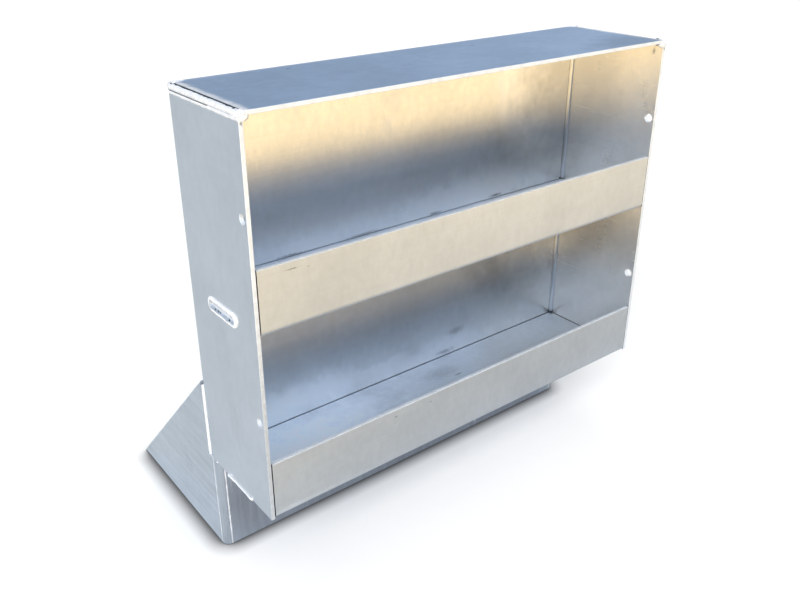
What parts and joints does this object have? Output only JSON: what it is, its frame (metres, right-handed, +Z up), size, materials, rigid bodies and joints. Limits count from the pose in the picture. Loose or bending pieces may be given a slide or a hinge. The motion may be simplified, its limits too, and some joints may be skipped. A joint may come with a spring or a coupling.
{
  "type": "two-tier trough feeder",
  "caption": "Open-front welded aluminium box with an upper and a lower lipped trough, carried on a 45 degree wedge foot behind it.",
  "frame": {"origin": "centre of the bounding box in plan, on the surface that the wedge foot stands on", "axes": "+X along the troughs from left to right as seen from the open front, +Y backwards from the open front to the toe of the foot, +Z up"},
  "size_m": [0.5222, 0.3326, 0.5],
  "materials": {
    "mill_sheet": "mill finish, softly reflective, faint rolling lines",
    "tray_sheet": "mill finish, softly reflective, light scuffs",
    "weld_bead": "bright rippled weld metal"
  },
  "bodies": {
    "root": {"box_wrap": "mill_sheet", "top_panel": "mill_sheet", "upper_tray": "tray_sheet", "lower_tray": "tray_sheet", "foot_wrap": "mill_sheet", "foot_base_plate": "mill_sheet", "foot_slope_plate": "mill_sheet", "weld_top_left": "weld_bead", "weld_top_right": "weld_bead", "weld_top_rear": "weld_bead", "weld_slot_left": "weld_bead", "weld_slot_right": "weld_bead", "weld_tray_bottom_left": "weld_bead", "weld_tray_bottom_right": "weld_bead", "weld_upper_tray_rear_left": "weld_bead", "weld_upper_tray_rear_right": "weld_bead", "weld_lower_tray_rear_left": "weld_bead", "weld_lower_tray_rear_right": "weld_bead", "weld_gusset_left": "weld_bead", "weld_gusset_right": "weld_bead", "weld_foot_seat_left": "weld_bead", "weld_foot_seat_center": "weld_bead", "weld_foot_seat_right": "weld_bead", "weld_slope_top": "weld_bead", "weld_slope_left": "weld_bead", "weld_slope_right": "weld_bead", "weld_base_rear": "weld_bead", "weld_base_left": "weld_bead", "weld_base_right": "weld_bead"}
  },
  "joints": []
}
